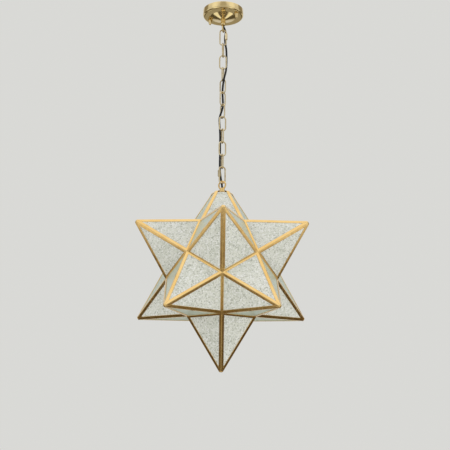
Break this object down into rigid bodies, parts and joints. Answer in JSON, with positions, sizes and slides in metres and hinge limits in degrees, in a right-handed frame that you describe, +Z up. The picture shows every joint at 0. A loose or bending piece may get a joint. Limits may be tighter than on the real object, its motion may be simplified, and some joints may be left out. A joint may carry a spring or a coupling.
{
  "type": "moravian star pendant",
  "caption": "Ceiling pendant light: a hollow many-pointed star of seeded glass in brass strips, hung on a chain from a round canopy.",
  "frame": {"origin": "middle of the ceiling bracket's fixing holes, in the plane of the ceiling and of the canopy's rim", "axes": "+Z up towards the ceiling, the star hangs along -Z; -Y is the front, towards the picture's camera; +X is the right as seen from the front"},
  "size_m": [0.3928, 0.413, 0.8872],
  "materials": {
    "brass": "warm lacquered brass, polished with soft waviness",
    "chain_brass": "paler brass-plated steel",
    "seeded_glass": "clear glass full of tiny bubbles, faintly green at its edges",
    "zinc_steel": "zinc-plated steel",
    "cord_black": "black flexible cord sheath",
    "holder_black": "black moulded lampholder",
    "holder_white": "white glazed insert",
    "cap_metal": "plain screw cap",
    "lamp_glass": "clear thin lamp glass"
  },
  "bodies": {
    "ceiling_fixture": {"mounting_bracket": "zinc_steel", "bracket_studs": "zinc_steel", "canopy": "brass", "hanger_tube": "zinc_steel", "hanger_nuts": "zinc_steel", "canopy_loop": "brass", "power_cord": "cord_black"},
    "ball_nut_left": {"canopy_ball_nut_left": "brass"},
    "ball_nut_right": {"canopy_ball_nut_right": "brass"},
    "top_quick_link": {"top_quick_link": "chain_brass"},
    "top_sleeve": {"top_quick_link_sleeve": "chain_brass"},
    "chain_link_01": {"chain_link_01": "chain_brass"},
    "chain_link_02": {"chain_link_02": "chain_brass"},
    "chain_link_03": {"chain_link_03": "chain_brass"},
    "chain_link_04": {"chain_link_04": "chain_brass"},
    "chain_link_05": {"chain_link_05": "chain_brass"},
    "chain_link_06": {"chain_link_06": "chain_brass"},
    "chain_link_07": {"chain_link_07": "chain_brass"},
    "chain_link_08": {"chain_link_08": "chain_brass"},
    "chain_link_09": {"chain_link_09": "chain_brass"},
    "chain_link_10": {"chain_link_10": "chain_brass"},
    "bottom_quick_link": {"bottom_quick_link": "chain_brass"},
    "bottom_sleeve": {"bottom_quick_link_sleeve": "chain_brass"},
    "opening_point": {"door_glass": "seeded_glass", "door_frame": "brass", "door_rim": "brass", "door_hinge_moving_leaves": "brass"},
    "lamp": {"lamp_cap": "cap_metal", "lamp_glass": "lamp_glass"},
    "star": {"bottom_point_frame": "brass", "bottom_point_glass": "seeded_glass", "door_hinge_fixed_leaves": "brass", "door_hinge_pins": "zinc_steel", "lampholder_body": "holder_black", "lampholder_cap": "holder_black", "lampholder_contact": "brass", "lampholder_insert": "holder_white", "lower_point_frames": "brass", "lower_point_glass_1": "seeded_glass", "lower_point_glass_2": "seeded_glass", "lower_point_glass_3": "seeded_glass", "lower_point_glass_4": "seeded_glass", "lower_point_glass_5": "seeded_glass", "star_loop": "brass", "star_nut": "zinc_steel", "star_tube": "zinc_steel", "star_washer": "zinc_steel", "top_plate": "brass", "top_point_frame": "brass", "top_point_glass": "seeded_glass", "top_straps": "brass", "upper_point_frames": "brass", "upper_point_glass_1": "seeded_glass", "upper_point_glass_2": "seeded_glass", "upper_point_glass_3": "seeded_glass", "upper_point_glass_4": "seeded_glass", "valley_strips": "brass"}
  },
  "joints": [
    {"name": "top_quick_link_swing", "type": "hinge", "parent": "ceiling_fixture", "child": "top_quick_link", "pos_m": [0, 0, -0.0566], "axis": [0.1736, 0.9848, 0], "range_deg": [-15, 15], "deforming": ["power_cord"]},
    {"name": "chain_link_01_swing", "type": "hinge", "parent": "top_quick_link", "child": "chain_link_01", "pos_m": [0, 0, -0.0921], "axis": [0.9976, 0.0698, 0], "range_deg": [-15, 15]},
    {"name": "chain_link_02_swing", "type": "hinge", "parent": "chain_link_01", "child": "chain_link_02", "pos_m": [0, 0, -0.1238], "axis": [0.1392, 0.9903, 0], "range_deg": [-15, 15]},
    {"name": "chain_link_03_swing", "type": "hinge", "parent": "chain_link_02", "child": "chain_link_03", "pos_m": [0, 0, -0.1555], "axis": [0.9986, -0.0523, 0], "range_deg": [-15, 15]},
    {"name": "chain_link_04_swing", "type": "hinge", "parent": "chain_link_03", "child": "chain_link_04", "pos_m": [0, 0, -0.1872], "axis": [0.2419, 0.9703, 0], "range_deg": [-15, 15]},
    {"name": "chain_link_05_swing", "type": "hinge", "parent": "chain_link_04", "child": "chain_link_05", "pos_m": [0, 0, -0.2189], "axis": [0.788, -0.6157, 0], "range_deg": [-15, 15]},
    {"name": "chain_link_06_swing", "type": "hinge", "parent": "chain_link_05", "child": "chain_link_06", "pos_m": [0, 0, -0.2506], "axis": [0.766, 0.6428, 0], "range_deg": [-15, 15]},
    {"name": "chain_link_07_swing", "type": "hinge", "parent": "chain_link_06", "child": "chain_link_07", "pos_m": [0, 0, -0.2823], "axis": [0.5878, -0.809, 0], "range_deg": [-15, 15]},
    {"name": "chain_link_08_swing", "type": "hinge", "parent": "chain_link_07", "child": "chain_link_08", "pos_m": [0, 0, -0.314], "axis": [0.9397, 0.342, 0], "range_deg": [-15, 15]},
    {"name": "chain_link_09_swing", "type": "hinge", "parent": "chain_link_08", "child": "chain_link_09", "pos_m": [0, 0, -0.3457], "axis": [0.2419, -0.9703, 0], "range_deg": [-15, 15]},
    {"name": "chain_link_10_swing", "type": "hinge", "parent": "chain_link_09", "child": "chain_link_10", "pos_m": [0, 0, -0.3774], "axis": [0.9703, 0.2419, 0], "range_deg": [-15, 15]},
    {"name": "bottom_quick_link_swing", "type": "hinge", "parent": "chain_link_10", "child": "bottom_quick_link", "pos_m": [0, 0, -0.4091], "axis": [0.2079, -0.9781, 0], "range_deg": [-15, 15]},
    {"name": "star_swing", "type": "hinge", "parent": "bottom_quick_link", "child": "star", "pos_m": [0, 0, -0.4448], "axis": [-0.8988, -0.4384, 0], "range_deg": [-15, 15]},
    {"name": "top_sleeve_slide", "type": "slide", "parent": "top_quick_link", "child": "top_sleeve", "axis": [0, 0, -1], "range_m": [0, 0.008]},
    {"name": "bottom_sleeve_slide", "type": "slide", "parent": "bottom_quick_link", "child": "bottom_sleeve", "axis": [0, 0, -1], "range_m": [0, 0.008]},
    {"name": "ball_nut_right_turn", "type": "hinge", "parent": "ceiling_fixture", "child": "ball_nut_right", "pos_m": [0.0324, -0.01947, -0.023], "axis": [0, 0, 1], "continuous": true},
    {"name": "ball_nut_left_turn", "type": "hinge", "parent": "ceiling_fixture", "child": "ball_nut_left", "pos_m": [-0.0324, 0.01947, -0.023], "axis": [0, 0, 1], "continuous": true},
    {"name": "lamp_turn", "type": "hinge", "parent": "star", "child": "lamp", "pos_m": [0, 0, -0.5222], "axis": [0, 0, 1], "continuous": true},
    {"name": "opening_point_hinge", "type": "hinge", "parent": "star", "child": "opening_point", "pos_m": [0.0399, 0.05491, -0.54723], "axis": [0.809, -0.5878, 0], "range_deg": [0, 100]}
  ]
}
